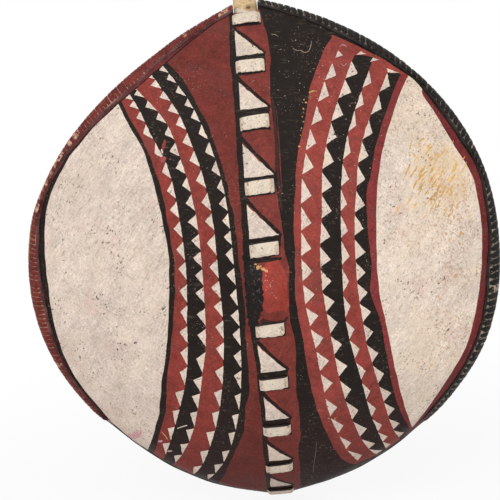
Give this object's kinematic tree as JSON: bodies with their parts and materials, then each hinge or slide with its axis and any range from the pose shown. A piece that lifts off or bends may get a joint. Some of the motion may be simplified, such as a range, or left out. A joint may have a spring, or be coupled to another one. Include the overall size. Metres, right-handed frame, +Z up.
{
  "type": "hide shield",
  "caption": "Round-shouldered shield of bowed painted hide with a hollow boss, laced to an upright wooden stave with a leather-wrapped grip and bound with hide round its rim.",
  "frame": {"origin": "middle of the hand grip on the stave", "axes": "+Z up along the stave, +Y backwards from the grip towards the holder, so the painted face looks along -Y, +X to the right of someone who looks at the painted face"},
  "size_m": [0.6238, 0.2298, 0.7239],
  "materials": {
    "painted_hide": "hand-painted rawhide in red, black and cream, satin, scuffed",
    "stave_wood": "dry peeled stick wood, handled smooth",
    "rod_wood": "dry split cane",
    "grip_leather": "worn brown leather",
    "strap_hide": "cream-painted rawhide strap",
    "red_rim_hide": "maroon-painted rawhide strip",
    "black_rim_hide": "black-painted rawhide strip"
  },
  "bodies": {
    "root": {"hide_face": "painted_hide", "stave": "stave_wood", "grip_wrap": "grip_leather", "rim_rod_left": "rod_wood", "rim_binding_left": "red_rim_hide", "rim_lacing_left": "red_rim_hide", "rim_rod_right": "rod_wood", "rim_binding_right": "black_rim_hide", "rim_lacing_right": "black_rim_hide", "stave_lashing_1": "strap_hide", "stave_lashing_2": "strap_hide", "stave_lashing_3": "strap_hide", "stave_lashing_4": "strap_hide", "stave_lashing_5": "strap_hide", "stave_lashing_6": "strap_hide", "stave_lashing_7": "strap_hide", "stave_lashing_8": "strap_hide", "stave_lashing_9": "strap_hide", "stave_lashing_10": "strap_hide"}
  },
  "joints": []
}
